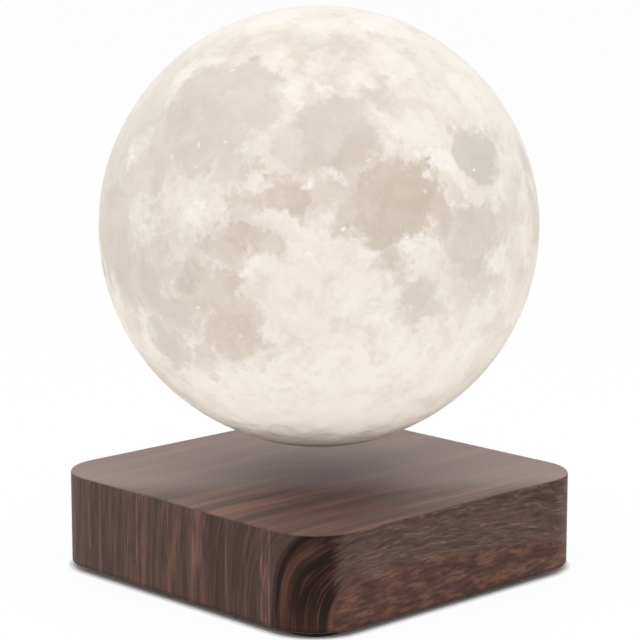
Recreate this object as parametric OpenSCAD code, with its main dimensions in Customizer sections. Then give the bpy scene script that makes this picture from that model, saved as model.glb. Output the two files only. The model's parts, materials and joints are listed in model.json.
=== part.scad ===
// Floating moon lamp: a printed moon ball that hovers over a square walnut base.
// Millimetres, +Z up, origin on the surface it stands on, under the centre of the ball.
// The sides of the base lie along X and Y, and the power socket is in the +Y side.

/* [Moon] */
// Diameter of the ball
moon_d = 140; // [130:1:160]
// Wall of the ball
moon_wall = 1.6; // [1.2:0.1:2.4]
// Clear air between the base and the flat under the ball
float_gap = 11.5; // [8:0.1:20]
// Radius of the flat under the ball
flat_r = 17; // [16:0.25:20]
// Wall of the neck inside the opening
neck_wall = 1.6; // [1:0.1:2.4]
// Height of the neck inside the opening
neck_h = 6; // [4:0.5:10]

/* [Bottom cap] */
// Thickness of the cap's floor
cap_floor = 1.6; // [1:0.1:2.4]
// Thickness of the cap's upright wall
cap_wall = 1.4; // [1:0.1:2]
// Wall of the cup that holds the magnet
cup_wall = 1.2; // [0.8:0.1:1.6]
// Thickness of the lid over the magnet
lid_t = 1; // [0.6:0.1:2]
// Radius of the bosses that the receiver board is screwed to
cap_boss_r = 2.2; // [2:0.05:2.6]
// Floor left between the wound ring and a boss
boss_gap = 1.3; // [0.8:0.1:3]
// Board left between a boss and the board's edge
boss_edge = 0.6; // [0.3:0.1:2]
// Clearance between the cap and the neck
cap_clear = 0.2; // [0.1:0.05:0.4]

/* [Levitation magnet] */
// Radius of the magnet in the ball
magnet_r = 14; // [12:0.25:14.5]
// Height of the magnet in the ball
magnet_h = 10; // [8:0.25:14]
// Glue gap round the magnet
magnet_clear = 0.3; // [0.2:0.05:0.5]

/* [Receiver] */
// Thickness of the wound ring round the magnet cup
receiver_coil_t = 2.2; // [1.2:0.1:2.4]
// Height of the wound ring
receiver_coil_h = 6; // [4:0.25:7]
// Thickness of the receiver board
receiver_board_t = 1.2; // [0.8:0.1:1.6]
// Height of the spacers under the light plate
spacer_h = 12; // [8:0.5:20]
// Distance of the spacers from the centre
spacer_at = 11; // [10:0.25:12]
// Plate left between a screw's head and a light diode
diode_gap = 1.8; // [0.5:0.1:4]
// Distance from a light diode's centre to the edge of the light plate
light_edge = 4; // [2.5:0.25:6]
// Thickness of the light plate
light_plate_t = 1.6; // [1:0.1:2.4]
// Number of light diodes round the plate
light_count = 6; // [3:1:8]

/* [Wood housing] */
// Side of the base
base_w = 124; // [120:1:140]
// Height of the wood
base_h = 30; // [29:0.5:40]
// Radius of the upright corners
corner_r = 17.5; // [15:0.5:24]
// Wood left over the pocket
top_t = 3; // [2:0.1:4]
// Wood left round the bottom cover
rim_w = 4; // [3:0.25:5]
// Radius of the hole for the power plug
plug_hole_r = 5.5; // [5:0.1:6]

/* [Bottom cover and feet] */
// Thickness of the bottom cover
cover_t = 2.4; // [2:0.1:3]
// Clearance round the bottom cover
cover_clear = 0.3; // [0.2:0.05:0.6]
// Radius of a foot
foot_r = 9; // [7:0.25:10]
// Height of a foot
foot_h = 1.6; // [1.2:0.1:4]
// Distance from the side of the base to the centre of a foot
foot_inset = 13; // [12.5:0.25:15]
// Chamfer round the bottom of a foot
foot_chamfer = 0.4; // [0.2:0.05:0.6]

/* [Control board] */
// Gap between the control board and the wood
board_gap = 2; // [1:0.25:3]
// Thickness of the control board
board_t = 1.6; // [1.2:0.1:2]
// Distance from the board's edge to the centre of a standoff
standoff_edge = 5.1; // [4:0.1:7]
// Distance of the standoffs from the centre, along Y
standoff_y = 16; // [15:0.25:17]
// Radius of a standoff
standoff_r = 2.8; // [2.5:0.05:3]

/* [Lifting magnets] */
// Width of the ring magnet, from its hole to its rim
ring_band = 10; // [8:0.25:11]
// Gap between the electromagnets and the ring magnet round them
ring_gap = 1.75; // [0.5:0.25:2.5]
// Height of the ring magnet
ring_h = 12; // [9:0.25:13]
// Thickness of the carrier's floor
carrier_floor = 1.5; // [1:0.1:2]
// Thickness of the carrier's rim
carrier_wall = 1.5; // [1:0.1:2]
// Clearance between the ring magnet and the carrier
ring_clear = 0.2; // [0.1:0.05:0.4]
// Gap between one electromagnet and the next
coil_gap = 1.85; // [0.5:0.05:2.5]
// Radius of a bobbin's flange
flange_r = 9.5; // [8.5:0.1:10]
// Thickness of a bobbin's flange
flange_t = 0.8; // [0.5:0.1:1.2]
// Wall of a bobbin's barrel
barrel_wall = 0.8; // [0.5:0.1:1.2]
// Radius of an iron core
core_r = 3; // [2.5:0.1:4]
// How far the winding stays inside the flange
winding_inset = 0.5; // [0.3:0.1:1]

/* [Transmit coil] */
// Former left outside the flat coil
coil_edge = 1.2; // [0.8:0.1:2]
// Turns of the flat coil
transmit_turns = 6; // [3:1:6]
// Width of the coil's wire
wire_w = 1.2; // [0.8:0.1:1.3]
// Distance from one turn to the next
wire_pitch = 1.8; // [1.7:0.05:1.9]
// Height of the flat coil
transmit_h = 1.2; // [0.8:0.1:1.6]
// Thickness of the coil's former
former_t = 1; // [0.8:0.1:1.6]
// Thickness of the ferrite sheet under the former
ferrite_t = 0.8; // [0.5:0.1:1.2]
// Clearance under the wood
ceiling_clear = 0.4; // [0.2:0.1:1]

/* [Power socket] */
// Width of the socket
jack_w = 9; // [8.5:0.1:10]
// Height of the socket
jack_h = 11; // [10.5:0.1:12]
// Length of the socket
jack_l = 12.5; // [11:0.1:13]
// Radius of the socket's bore
jack_bore_r = 3.1; // [2.9:0.05:3.3]
// Radius of the socket's centre pin
jack_pin_r = 1; // [0.8:0.05:1.2]
// Depth of the socket's bore
jack_depth = 10; // [8:0.25:10.5]
// How far the centre pin stays inside the bore
pin_recess = 1; // [0.5:0.25:3]
// Gap between the socket and the magnet carrier
socket_gap = 2.3; // [1:0.1:3]

/* [Screws] */
// Radius of the small machine screws
screw_r = 1.25; // [1.1:0.05:1.35]
// Radius of a screw's head
head_r = 2.4; // [2.1:0.05:2.5]
// Height of a screw's head
head_h = 1.4; // [1:0.1:1.6]
// Length of the wood screws under the cover
wood_screw_l = 12; // [8:0.5:16]
// Clearance round a screw
screw_clear = 0.15; // [0.1:0.05:0.3]
// Clearance between a screw and its thread
thread_clear = 0.05; // [0.02:0.01:0.1]
// How deep a screw goes into a boss or spacer
screw_grip = 4; // [3:0.5:6]

/* [Hidden] */
$fn = 96;
eps = 0.01;
fine = 24; // facets of small rounds

// Heights in the base
cover_z = foot_h;
cover_top = cover_z + cover_t;
base_top = foot_h + base_h;
ceiling_z = base_top - top_t;
transmit_z = ceiling_z - ceiling_clear - transmit_h;
former_z = transmit_z - former_t;
ferrite_z = former_z - ferrite_t;
carrier_top = ferrite_z - ring_h; // top of the carrier's floor, under the ring magnet
board_top = carrier_top - carrier_floor;
board_z = board_top - board_t;
standoff_h = board_z - cover_top;

// Widths in the base, from the four electromagnets outwards to the round pocket in the wood
coil_ring_r = (2 * flange_r + coil_gap) / sqrt(2);
ring_hole_r = coil_ring_r + flange_r + ring_gap;
ring_r = ring_hole_r + ring_band;
carrier_r = ring_r + ring_clear + carrier_wall;
jack_face_y = carrier_r + socket_gap + jack_l;
pocket_r = sqrt(pow(jack_face_y + cover_clear, 2) + pow(jack_w / 2, 2));
board_r = pocket_r - board_gap;
standoff_x = sqrt(pow(board_r - standoff_edge, 2) - pow(standoff_y, 2));
cover_w = base_w - 2 * rim_w - 2 * cover_clear;
cover_corner_r = corner_r - rim_w - cover_clear;
foot_at = base_w / 2 - foot_inset;
free_r = carrier_r + ring_clear; // what stands on the board stays outside this
annulus_r = (free_r + board_r) / 2;
bobbin_h = ring_h;
barrel_r = core_r + screw_clear + barrel_wall;
winding_r = flange_r - winding_inset;
screw_depth = standoff_h / 2 - screw_clear;

// The socket
jack_axis_z = board_top + jack_h - jack_w / 2;
drill_start = 2; // how far the plug hole's drill starts inside the pocket

// Small parts in the base
peg_r = 1.4; // pegs under the carrier
peg_at = (ring_r + ring_hole_r) / 2;
pin_r = 0.35; // solder pins of the electromagnets
pin_inset = 1.2; // from the flange's edge to a pin's centre
pin_at = flange_r - pin_inset;
post_r = 3.2; // post of the field sensors
sensor_w = 3;
sensor_h = 4;
sensor_t = 1.5;
post_h = carrier_floor + ring_h - sensor_t;
lead_r = 0.4;
lead_down_r = free_r + lead_r;
pad_r = 5.5; // foil that senses a finger on the wood
pad_t = 0.3;
touch_angle = -45;
// Each chip's size, and its place round the board
processor = [7, 7, 1.4];
processor_angle = 225;
driver = [5, 6, 1.6];
driver_angles = [0, 270];
inductor = [8, 8, 4];
inductor_angle = 180;
capacitor_r = 4;
capacitor_h = 10;
capacitor_angles = [55, 125];

// The flat coil, as points along its inner and outer edge
steps_per_turn = 36;
coil_steps = transmit_turns * steps_per_turn;
transmit_in_r = carrier_r - coil_edge - wire_w - wire_pitch * transmit_turns;
function coil_r(turn) = transmit_in_r + wire_pitch * turn;
function coil_point(turn, offset) =
    [(coil_r(turn) + offset) * cos(360 * turn), (coil_r(turn) + offset) * sin(360 * turn)];
coil_inner = [for (i = [0:coil_steps]) coil_point(i / steps_per_turn, 0)];
coil_outer = [for (i = [coil_steps:-1:0]) coil_point(i / steps_per_turn, wire_w)];
lead_turns = [0.01, transmit_turns - 0.03]; // where along the coil the leads start
lead_starts = [for (t = lead_turns) coil_r(t) + wire_w / 2];
lead_angles = [for (t = lead_turns) 360 * t];

// The moon
moon_r = moon_d / 2;
moon_in_r = moon_r - moon_wall;
flat_z = base_top + float_gap;
moon_z = flat_z + sqrt(pow(moon_r, 2) - pow(flat_r, 2));
floor_z = flat_z + cap_floor;
magnet_z = floor_z + magnet_clear;
cup_in_r = magnet_r + magnet_clear;
cup_r = cup_in_r + cup_wall;
lid_z = magnet_z + magnet_h + magnet_clear;
receiver_z = lid_z + lid_t;
receiver_top = receiver_z + receiver_board_t;

// Widths in the ball, from the magnet outwards
receiver_coil_in = cup_r + cap_clear;
receiver_coil_out = receiver_coil_in + receiver_coil_t;
boss_at = receiver_coil_out + boss_gap + cap_boss_r;
receiver_board_r = boss_at + cap_boss_r + boss_edge;
cap_r = receiver_board_r + cap_clear + cap_wall;
opening_r = cap_r + cap_clear;
neck_z = moon_z - sqrt(pow(moon_in_r, 2) - pow(opening_r, 2));
cap_top = max(neck_z + neck_h, receiver_z);
receiver_coil_z = max(floor_z,
    moon_z - sqrt(pow(moon_in_r - cap_clear / 2, 2) - pow(receiver_coil_out, 2)));
plate_z = receiver_top + spacer_h;
plate_top = plate_z + light_plate_t;

// Small parts in the ball: rectifiers near the middle and capacitors further out
boss_count = 3;
spacer_r = 2.2;
spacer_turn = 60; // the spacers stand between the bosses
rectifier = [4, 5, 1.6];
rectifier_at = 6;
smoothing_r = 2;
smoothing_h = 5;
smoothing_at = 12;
smoothing_turn = 30;
diode = [3.6, 3.6, 0.8];
light_at = spacer_at + head_r + diode_gap + diode[0] / 2;
light_plate_r = light_at + light_edge;

wood = "#5b4038";
dark_plastic = "#202022";
pale_plastic = "#e9e4da";
moon_white = "#efe8dc";
copper = "#b5693a";
steel = "#9a9ca0";
board_green = "#1f5a3c";
magnet_grey = "#4b4b50";
brass = "#b5983f";
diode_yellow = "#f4e9a8";

base_nodes = ["wood_housing", "bottom_cover", "cover_screws", "control_board", "board_standoffs",
    "cover_board_screws", "board_screws", "magnet_carrier", "ring_magnet", "sensor_post",
    "field_sensors", "ferrite_sheet", "coil_former", "transmit_coil", "transmit_leads", "dc_jack",
    "jack_pin", "microcontroller", "coil_drivers", "bulk_capacitors", "power_inductor",
    "touch_pad", "touch_lead", "winding_pins"];
corner_names = ["front", "right", "back", "left"];
feet = [for (c = corner_names) str("foot_", c)];
cores = [for (c = corner_names) str("core_", c)];
bobbins = [for (c = corner_names) str("bobbin_", c)];
windings = [for (c = corner_names) str("winding_", c)];
moon_nodes = ["moon_shell", "bottom_cap", "levitation_magnet", "magnet_lid", "receiver_coil",
    "receiver_board", "receiver_parts", "receiver_screws", "light_spacers", "light_plate",
    "light_diodes", "light_screws"];

// A square with rounded corners, centred
module round_square(w, r) {
    for (x = [-1, 1], y = [-1, 1])
        translate([x * (w / 2 - r), y * (w / 2 - r)]) circle(r);
    square([w, w - 2 * r], center = true);
    square([w - 2 * r, w], center = true);
}

// Children at (x, y) and at its three mirror images
module four_ways(x, y) {
    for (sx = [-1, 1], sy = [-1, 1])
        translate([sx * x, sy * y, 0]) children();
}

// Children at a distance from the axis, a number of times round it
module around(count, distance, start = 0) {
    for (i = [0:count - 1])
        rotate([0, 0, start + i * 360 / count]) translate([distance, 0, 0]) children();
}

// Place of corner i: front is at +X -Y, and the rest follow anticlockwise
module at_corner(i, distance) {
    rotate([0, 0, -45 + 90 * i]) translate([distance, 0, 0]) children();
}

module tube(outer, inner, h) {
    difference() {
        cylinder(r = outer, h = h);
        translate([0, 0, -eps]) cylinder(r = inner, h = h + 2 * eps);
    }
}

// A pan-headed screw, its head's seat at z = 0 and its shank pointing down
module screw(r, length) {
    cylinder(r = head_r, h = head_h, $fn = fine);
    translate([0, 0, -length]) cylinder(r = r, h = length + eps, $fn = fine);
}

module drill(r, length) {
    translate([0, 0, -length]) cylinder(r = r, h = length + 2 * eps, $fn = fine);
}

// ---- base ----

module wood_housing() color(wood) difference() {
    translate([0, 0, foot_h]) linear_extrude(base_h) round_square(base_w, corner_r);
    translate([0, 0, cover_z - eps])
        linear_extrude(cover_t + eps) round_square(base_w - 2 * rim_w, corner_r - rim_w);
    translate([0, 0, cover_top - eps]) cylinder(r = pocket_r, h = ceiling_z - cover_top + eps);
    four_ways(foot_at, foot_at)
        translate([0, 0, cover_z + head_h + wood_screw_l + screw_clear])
            drill(screw_r + thread_clear, wood_screw_l + head_h);
    translate([0, pocket_r - drill_start, jack_axis_z]) rotate([-90, 0, 0])
        cylinder(r = plug_hole_r, h = base_w / 2);
}

module bottom_cover() color(dark_plastic) difference() {
    translate([0, 0, cover_z]) linear_extrude(cover_t) round_square(cover_w, cover_corner_r);
    four_ways(foot_at, foot_at) screw_seat(cover_z, cover_t);
    four_ways(standoff_x, standoff_y) screw_seat(cover_z, cover_t);
}

// Hole through a plate for a screw from below, with a counterbore for its head
module screw_seat(z, t) {
    translate([0, 0, z - eps]) cylinder(r = screw_r + screw_clear, h = t + 2 * eps, $fn = fine);
    translate([0, 0, z - eps]) cylinder(r = head_r + screw_clear, h = head_h + eps, $fn = fine);
}

module cover_screws() color(steel)
    four_ways(foot_at, foot_at)
        translate([0, 0, cover_z + head_h]) rotate([180, 0, 0]) screw(screw_r, wood_screw_l);

module cover_board_screws() color(steel)
    four_ways(standoff_x, standoff_y)
        translate([0, 0, cover_z + head_h]) rotate([180, 0, 0])
            screw(screw_r, cover_t - head_h + screw_depth);

module foot(i) color(dark_plastic)
    at_corner(i, foot_at * sqrt(2)) rotate_extrude()
        polygon([[0, 0], [foot_r - foot_chamfer, 0], [foot_r, foot_chamfer], [foot_r, foot_h],
                 [0, foot_h]]);

module board_standoffs() color(brass)
    four_ways(standoff_x, standoff_y)
        translate([0, 0, cover_top]) tube(standoff_r, screw_r + thread_clear, standoff_h);

module board_screws() color(steel)
    four_ways(standoff_x, standoff_y) translate([0, 0, board_top]) screw(screw_r, board_t + screw_depth);

module control_board() color(board_green) difference() {
    translate([0, 0, board_z]) cylinder(r = board_r, h = board_t);
    four_ways(standoff_x, standoff_y)
        translate([0, 0, board_top]) drill(screw_r + screw_clear, board_t + eps);
    around(4, peg_at) translate([0, 0, board_top]) drill(peg_r + screw_clear, board_t + eps);
}

module magnet_carrier() color(pale_plastic) {
    difference() {
        translate([0, 0, board_top]) cylinder(r = carrier_r, h = ferrite_z + ferrite_t - board_top);
        translate([0, 0, carrier_top])
            cylinder(r = ring_r + ring_clear, h = ring_h + ferrite_t + eps);
        translate([0, 0, board_top - eps]) cylinder(r = post_r + screw_clear, h = carrier_floor + 2 * eps);
        pin_places() translate([0, 0, carrier_top]) drill(pin_r + screw_clear, carrier_floor + eps);
    }
    around(4, peg_at) translate([0, 0, board_z]) cylinder(r = peg_r, h = board_t + eps, $fn = fine);
}

module ring_magnet() color(magnet_grey)
    translate([0, 0, carrier_top]) tube(ring_r, ring_hole_r, ring_h);

// Children at both solder pins of each electromagnet
module pin_places() {
    for (i = [0:3])
        at_corner(i, coil_ring_r)
            for (side = [-1, 1]) translate([0, side * pin_at, 0]) children();
}

module winding_pins() color(copper)
    pin_places() translate([0, 0, board_top]) cylinder(r = pin_r, h = carrier_floor, $fn = fine);

module core(i) color(steel)
    at_corner(i, coil_ring_r) translate([0, 0, carrier_top])
        cylinder(r = core_r, h = bobbin_h);

module bobbin(i) color(dark_plastic)
    at_corner(i, coil_ring_r) translate([0, 0, carrier_top]) difference() {
        union() {
            cylinder(r = flange_r, h = flange_t);
            translate([0, 0, bobbin_h - flange_t]) cylinder(r = flange_r, h = flange_t);
            cylinder(r = barrel_r, h = bobbin_h);
        }
        translate([0, 0, -eps]) cylinder(r = core_r + screw_clear, h = bobbin_h + 2 * eps);
    }

module winding(i) color(copper)
    at_corner(i, coil_ring_r) translate([0, 0, carrier_top + flange_t])
        tube(winding_r, barrel_r, bobbin_h - 2 * flange_t);

// Three field sensors on a post between the electromagnets
module sensor_post() color(pale_plastic)
    translate([0, 0, board_top]) difference() {
        cylinder(r = post_r, h = post_h);
        for (a = [0, 90]) rotate([0, 0, a])
            translate([post_r - sensor_t, -sensor_w / 2, post_h - sensor_h])
                cube([sensor_t + eps, sensor_w, sensor_h + eps]);
    }

module field_sensors() color(dark_plastic)
    translate([0, 0, board_top + post_h]) {
        for (a = [0, 90]) rotate([0, 0, a])
            translate([post_r - sensor_t, -sensor_w / 2, -sensor_h])
                cube([sensor_t, sensor_w, sensor_h]);
        translate([-sensor_w / 2, -sensor_w / 2, 0]) cube([sensor_w, sensor_w, sensor_t]);
    }

module ferrite_sheet() color(magnet_grey)
    translate([0, 0, ferrite_z]) cylinder(r = ring_r, h = ferrite_t);

// The flat coil: one strip that winds outwards
module transmit_coil() color(copper)
    translate([0, 0, transmit_z]) linear_extrude(transmit_h) polygon(concat(coil_inner, coil_outer));

// Each lead runs out in a slot of the former, and down beside the carrier
module coil_former() color(pale_plastic) difference() {
    translate([0, 0, former_z]) cylinder(r = carrier_r, h = former_t);
    for (i = [0, 1]) rotate([0, 0, lead_angles[i]])
        translate([lead_starts[i] - lead_r - screw_clear, -lead_r - screw_clear, former_z - eps])
            cube([carrier_r, 2 * (lead_r + screw_clear), former_t + 2 * eps]);
}

module transmit_leads() color(copper)
    for (i = [0, 1]) rotate([0, 0, lead_angles[i]]) {
        translate([lead_starts[i], 0, former_z + former_t - lead_r]) rotate([0, 90, 0])
            cylinder(r = lead_r, h = lead_down_r - lead_starts[i], $fn = fine);
        translate([lead_down_r, 0, board_top])
            cylinder(r = lead_r, h = former_z + former_t - board_top, $fn = fine);
    }

module dc_jack() color(dark_plastic) difference() {
    translate([-jack_w / 2, jack_face_y - jack_l, board_top]) cube([jack_w, jack_l, jack_h]);
    translate([0, jack_face_y - jack_depth, jack_axis_z]) rotate([-90, 0, 0])
        cylinder(r = jack_bore_r, h = jack_depth + eps);
}

module jack_pin() color(brass)
    translate([0, jack_face_y - jack_depth, jack_axis_z]) rotate([-90, 0, 0])
        cylinder(r = jack_pin_r, h = jack_depth - pin_recess, $fn = fine);

// A flat part on the board, at an angle round it
module chip(angle, size) {
    rotate([0, 0, angle])
        translate([annulus_r - size[0] / 2, -size[1] / 2, board_top]) cube(size);
}

module microcontroller() color(dark_plastic) chip(processor_angle, processor);
module coil_drivers() color(dark_plastic) for (a = driver_angles) chip(a, driver);
module power_inductor() color(magnet_grey) chip(inductor_angle, inductor);
module bulk_capacitors() color(steel)
    for (a = capacitor_angles) rotate([0, 0, a]) translate([annulus_r, 0, board_top])
        cylinder(r = capacitor_r, h = capacitor_h);

module touch_pad() color(copper)
    rotate([0, 0, touch_angle]) translate([annulus_r, 0, ceiling_z - pad_t])
        cylinder(r = pad_r, h = pad_t);
module touch_lead() color(copper)
    rotate([0, 0, touch_angle]) translate([annulus_r, 0, board_top])
        cylinder(r = lead_r, h = ceiling_z - pad_t - board_top, $fn = fine);

// ---- moon ----

module ball(r) translate([0, 0, moon_z]) sphere(r);

module moon_shell() color(moon_white) difference() {
    union() {
        difference() {
            ball(moon_r);
            ball(moon_in_r);
        }
        intersection() {
            ball(moon_r - moon_wall / 2);
            translate([0, 0, flat_z]) cylinder(r = opening_r + neck_wall, h = neck_z + neck_h - flat_z);
        }
    }
    translate([0, 0, flat_z - moon_r]) cylinder(r = opening_r, h = moon_r + neck_z + neck_h - flat_z + eps);
}

module bottom_cap() color(moon_white) {
    difference() {
        cap_plug();
        intersection() {
            ball(moon_in_r);
            translate([0, 0, floor_z]) cylinder(r = cap_r - cap_wall, h = moon_r);
        }
    }
    intersection() {
        cap_plug();
        union() {
            translate([0, 0, floor_z - eps]) tube(cup_r, cup_in_r, lid_z - floor_z + eps);
            around(boss_count, boss_at)
                translate([0, 0, floor_z - eps])
                    tube(cap_boss_r, screw_r + thread_clear, receiver_z - floor_z + eps);
        }
    }
}

module cap_plug() intersection() {
    ball(moon_r);
    translate([0, 0, flat_z]) cylinder(r = cap_r, h = cap_top - flat_z);
}

module levitation_magnet() color(steel)
    translate([0, 0, magnet_z]) cylinder(r = magnet_r, h = magnet_h);

module magnet_lid() color(dark_plastic)
    translate([0, 0, lid_z]) cylinder(r = cup_r, h = lid_t);

module receiver_coil() color(copper)
    translate([0, 0, receiver_coil_z]) tube(receiver_coil_out, receiver_coil_in, receiver_coil_h);

module receiver_board() color(board_green) difference() {
    translate([0, 0, receiver_z]) cylinder(r = receiver_board_r, h = receiver_board_t);
    around(boss_count, boss_at)
        translate([0, 0, receiver_top]) drill(screw_r + screw_clear, receiver_board_t + eps);
}

module receiver_screws() color(steel)
    around(boss_count, boss_at)
        translate([0, 0, receiver_top]) screw(screw_r, receiver_board_t + screw_grip);

module receiver_parts() color(dark_plastic) {
    around(boss_count, rectifier_at)
        translate([-rectifier[0] / 2, -rectifier[1] / 2, receiver_top]) cube(rectifier);
    around(boss_count, smoothing_at, smoothing_turn) translate([0, 0, receiver_top])
        cylinder(r = smoothing_r, h = smoothing_h, $fn = fine);
}

module light_spacers() color(brass)
    around(boss_count, spacer_at, spacer_turn)
        translate([0, 0, receiver_top]) tube(spacer_r, screw_r + thread_clear, spacer_h);

module light_plate() color(steel) difference() {
    translate([0, 0, plate_z]) cylinder(r = light_plate_r, h = light_plate_t);
    around(boss_count, spacer_at, spacer_turn)
        translate([0, 0, plate_top]) drill(screw_r + screw_clear, light_plate_t + eps);
}

module light_screws() color(steel)
    around(boss_count, spacer_at, spacer_turn)
        translate([0, 0, plate_top]) screw(screw_r, light_plate_t + screw_grip);

module light_diodes() color(diode_yellow)
    around(light_count, light_at)
        translate([-diode[0] / 2, -diode[1] / 2, plate_top]) cube(diode);

wood_housing();
bottom_cover();
cover_screws();
control_board();
board_standoffs();
cover_board_screws();
board_screws();
magnet_carrier();
ring_magnet();
sensor_post();
field_sensors();
ferrite_sheet();
coil_former();
transmit_coil();
transmit_leads();
dc_jack();
jack_pin();
microcontroller();
coil_drivers();
bulk_capacitors();
power_inductor();
touch_pad();
touch_lead();
winding_pins();
for (i = [0:3]) foot(i);
for (i = [0:3]) core(i);
for (i = [0:3]) bobbin(i);
for (i = [0:3]) winding(i);
moon_shell();
bottom_cap();
levitation_magnet();
magnet_lid();
receiver_coil();
receiver_board();
receiver_parts();
receiver_screws();
light_spacers();
light_plate();
light_diodes();
light_screws();
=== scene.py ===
"""Looks of the floating moon lamp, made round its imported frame.

Metres, +Z up, and the sides of the base lie along X and Y.
"""
import functools
import json
import math

import bmesh
import bpy
import numpy as np
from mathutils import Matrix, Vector


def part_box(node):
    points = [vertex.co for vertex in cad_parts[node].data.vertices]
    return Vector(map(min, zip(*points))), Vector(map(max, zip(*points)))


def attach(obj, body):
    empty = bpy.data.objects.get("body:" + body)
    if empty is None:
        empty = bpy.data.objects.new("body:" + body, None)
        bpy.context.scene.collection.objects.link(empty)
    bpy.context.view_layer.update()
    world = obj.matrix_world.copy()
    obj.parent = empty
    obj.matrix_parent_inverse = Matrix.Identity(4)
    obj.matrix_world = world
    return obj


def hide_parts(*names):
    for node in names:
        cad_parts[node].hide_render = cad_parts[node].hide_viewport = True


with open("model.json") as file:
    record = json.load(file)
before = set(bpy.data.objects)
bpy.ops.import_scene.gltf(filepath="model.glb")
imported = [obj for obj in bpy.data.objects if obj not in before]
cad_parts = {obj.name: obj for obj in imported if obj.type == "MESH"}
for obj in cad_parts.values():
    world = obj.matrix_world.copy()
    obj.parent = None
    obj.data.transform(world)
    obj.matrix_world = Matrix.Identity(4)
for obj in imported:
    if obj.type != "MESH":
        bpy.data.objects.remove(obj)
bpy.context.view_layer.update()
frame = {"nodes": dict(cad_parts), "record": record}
scene = bpy.context.scene
nodes = frame["nodes"]
MM = 0.001
WHITE = (1, 1, 1, 1)

# The photograph's view, fitted to the outlines of the ball and of the base
FRAME_PIXELS = 640
FOCAL_PIXELS = 2446.6
SENSOR_MM = 36
CAMERA_PLACE = (0.5558, -0.5343, 0.2209)
CAMERA_AZIMUTH = 46.106
CAMERA_DIP = 10.298


def add_camera():
    data = bpy.data.cameras.new("camera")
    data.sensor_width = SENSOR_MM
    data.lens = FOCAL_PIXELS / FRAME_PIXELS * SENSOR_MM
    camera = bpy.data.objects.new("camera", data)
    camera.location = CAMERA_PLACE
    camera.rotation_euler = (math.radians(90 - CAMERA_DIP), 0, math.radians(CAMERA_AZIMUTH))
    scene.collection.objects.link(camera)
    scene.camera = camera


# ---- short calls for material nodes ----

# Settings of these calls: a name that ends in _NOISE holds a noise's scale, detail, roughness and distortion,
# or for flat_noise how fine it is in x and in y and then the last three. One that ends in _STEP holds where a
# step starts and ends, and its value before and after if not 0 and 1. _TONES and _BROWNS are stops of a ramp

def rgb(red, green, blue):
    """A colour as it looks on a screen, 0 to 255, turned to the shader's linear values."""
    def linear(v):
        v /= 255
        return v / 12.92 if v <= 0.04045 else ((v + 0.055) / 1.055) ** 2.4
    return (linear(red), linear(green), linear(blue), 1)


class Graph:
    """A node tree that is built by short calls, each of which returns an output socket."""

    def __init__(self, tree, material=None):
        self.tree = tree
        self.material = material
        tree.nodes.clear()

    def add(self, kind, inputs, output=0, **settings):
        node = self.tree.nodes.new("ShaderNode" + kind)
        for key, value in settings.items():
            setattr(node, key, value)
        for key, value in inputs.items():
            if isinstance(value, bpy.types.NodeSocket):
                self.tree.links.new(value, node.inputs[key])
            else:
                node.inputs[key].default_value = value
        return node.outputs[output] if node.outputs else None

    def math(self, operation, *values, clamp=False):
        return self.add("Math", dict(enumerate(values)), operation=operation, use_clamp=clamp)

    def times(self, a, b):
        return self.math("MULTIPLY", a, b)

    def plus(self, a, b):
        return self.math("ADD", a, b)

    def minus(self, a, b):
        return self.math("SUBTRACT", a, b)

    def larger(self, a, b):
        return self.math("MAXIMUM", a, b)

    def largest(self, values):
        """The largest of several values at each point."""
        return functools.reduce(self.larger, values)

    def centred(self, noise):
        """A noise of 0 to 1, turned to go from -0.5 to 0.5."""
        return self.minus(noise, 0.5)

    def vector(self, operation, *values):
        output = "Value" if operation in ("DOT_PRODUCT", "LENGTH") else "Vector"
        return self.add("VectorMath", dict(enumerate(values)), output, operation=operation)

    def scaled(self, vector, factor):
        return self.add("VectorMath", {"Vector": vector, "Scale": factor}, operation="SCALE")

    def step(self, value, start, end, low=0.0, high=1.0):
        """low up to start, high from end on, and smooth between them."""
        return self.add("MapRange", {"Value": value, "From Min": start, "From Max": end, "To Min": low,
                                     "To Max": high}, interpolation_type="SMOOTHSTEP")

    def noise(self, vector, scale, detail=2.0, rough=0.5, distortion=0.0, output=0):
        return self.add("TexNoise", {"Vector": vector, "Scale": scale, "Detail": detail, "Roughness": rough,
                                     "Distortion": distortion}, output)

    def voronoi(self, vector, scale, even=0.0, **settings):
        """Distance to the nearest of scattered points, or to the edges between them; even=1 is a grid."""
        inputs = {"Vector": vector, "Scale": scale, "Randomness": 1 - even}
        return self.add("TexVoronoi", inputs, "Distance", **settings)

    def mix(self, factor, a, b, blend="MIX"):
        return self.add("Mix", {0: factor, 6: a, 7: b}, 2, data_type="RGBA", blend_type=blend)

    def ramp(self, value, *stops):
        """Colour by value: stops are (place, colour)."""
        output = self.add("ValToRGB", {0: value})
        elements = output.node.color_ramp.elements
        while len(elements) < len(stops):
            elements.new(0.5)
        for element, (place, colour) in zip(elements, stops):
            element.position = place
            element.color = colour
        return output

    def xyz(self, vector):
        node = self.add("SeparateXYZ", {0: vector}).node
        return node.outputs[0], node.outputs[1], node.outputs[2]

    def join(self, x, y, z):
        return self.add("CombineXYZ", {0: x, 1: y, 2: z})

    def place(self):
        """A point of the piece at rest, in millimetres."""
        return self.scaled(self.add("TexCoord", {}, "Object"), 1 / MM)

    def bump(self, height, depth):
        """height is 0 to 1, and depth is what 1 stands for, in metres."""
        return self.add("Bump", {"Height": height, "Distance": depth, "Strength": 1.0})

    def surface(self, **values):
        """Ends the tree in a Principled surface with base_color= and so on, and returns the material."""
        inputs = {key.replace("_", " ").title().replace("Ior", "IOR"): v for key, v in values.items()}
        shader = self.add("BsdfPrincipled", inputs)
        self.add("OutputMaterial", {"Surface": shader})
        return self.material


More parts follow.
